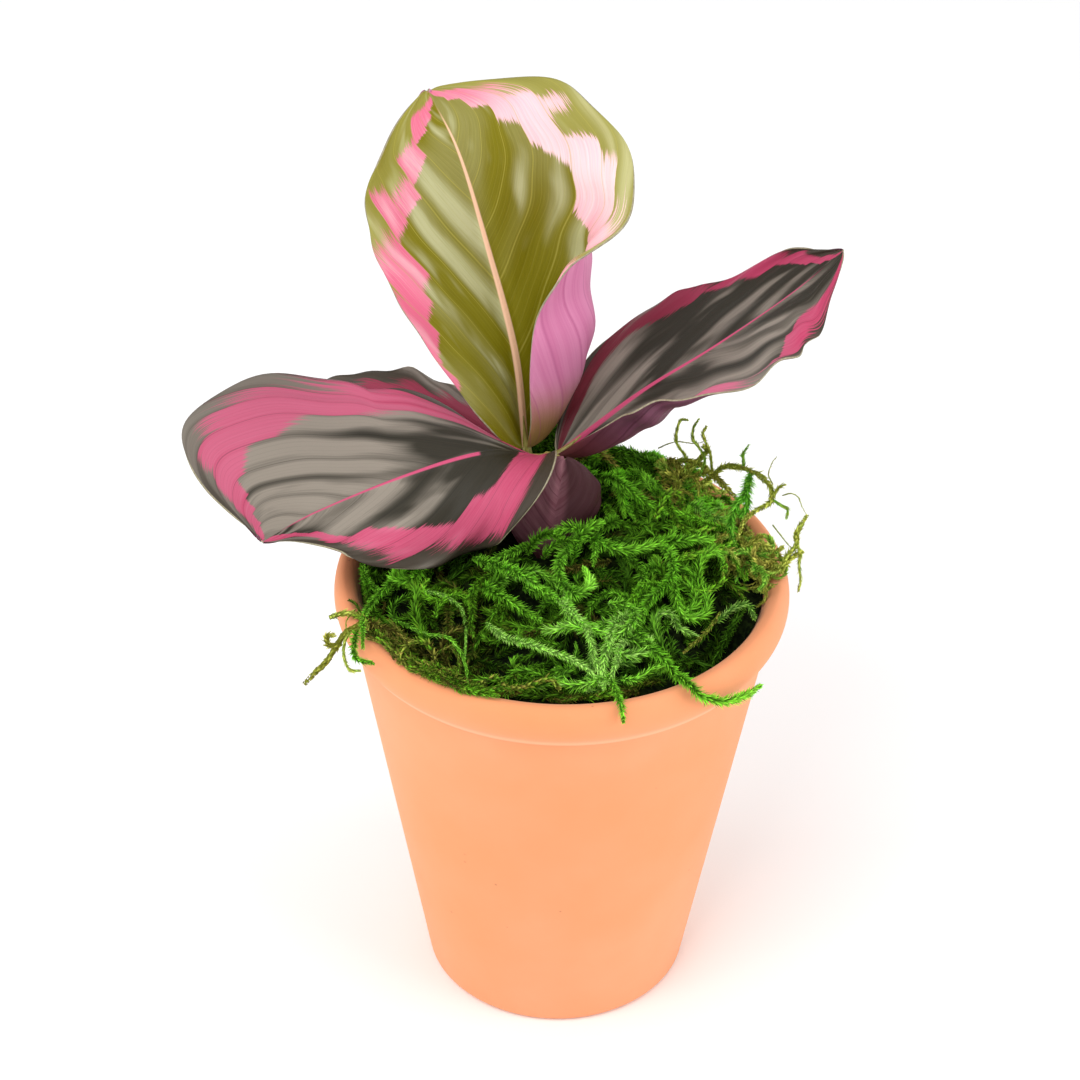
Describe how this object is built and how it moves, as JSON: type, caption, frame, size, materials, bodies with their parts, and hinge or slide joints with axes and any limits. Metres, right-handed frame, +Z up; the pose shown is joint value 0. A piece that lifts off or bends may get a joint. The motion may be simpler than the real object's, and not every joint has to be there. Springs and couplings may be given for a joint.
{
  "type": "potted calathea plant",
  "caption": "Young patterned calathea with rolled pink and green leaves, standing in a tapered terracotta pot whose soil is covered with a mound of green moss.",
  "frame": {"origin": "centre of the whole plant's bounding box in X and Y, at the plane that the pot stands on", "axes": "+Z up along the pot; +X to the right and +Y away from the front, the side with the small front leaf"},
  "size_m": [0.168, 0.12, 0.2531],
  "materials": {
    "terracotta": "matte",
    "soil": "matte",
    "roots": "matte",
    "crown": "satin",
    "moss": "matte",
    "dry_moss": "matte",
    "young_leaf": "satin",
    "mature_leaf": "satin",
    "leaf_stalk": "satin"
  },
  "bodies": {
    "root": {"terracotta_pot": "terracotta", "potting_soil": "soil", "root_ball": "roots", "rhizome_crown": "crown", "moss_bed": "moss", "hanging_moss_strand": "moss", "dry_moss_frond_left": "dry_moss", "dry_moss_curl_right": "dry_moss", "dry_moss_curl_back": "dry_moss", "tall_leaf_blade": "young_leaf", "front_left_leaf_blade": "mature_leaf", "back_left_leaf_blade": "mature_leaf", "right_leaf_blade": "mature_leaf", "small_front_leaf_blade": "mature_leaf", "tall_leaf_stalk": "leaf_stalk", "front_left_leaf_stalk": "leaf_stalk", "back_left_leaf_stalk": "leaf_stalk", "right_leaf_stalk": "leaf_stalk", "small_front_leaf_stalk": "leaf_stalk"}
  },
  "joints": []
}
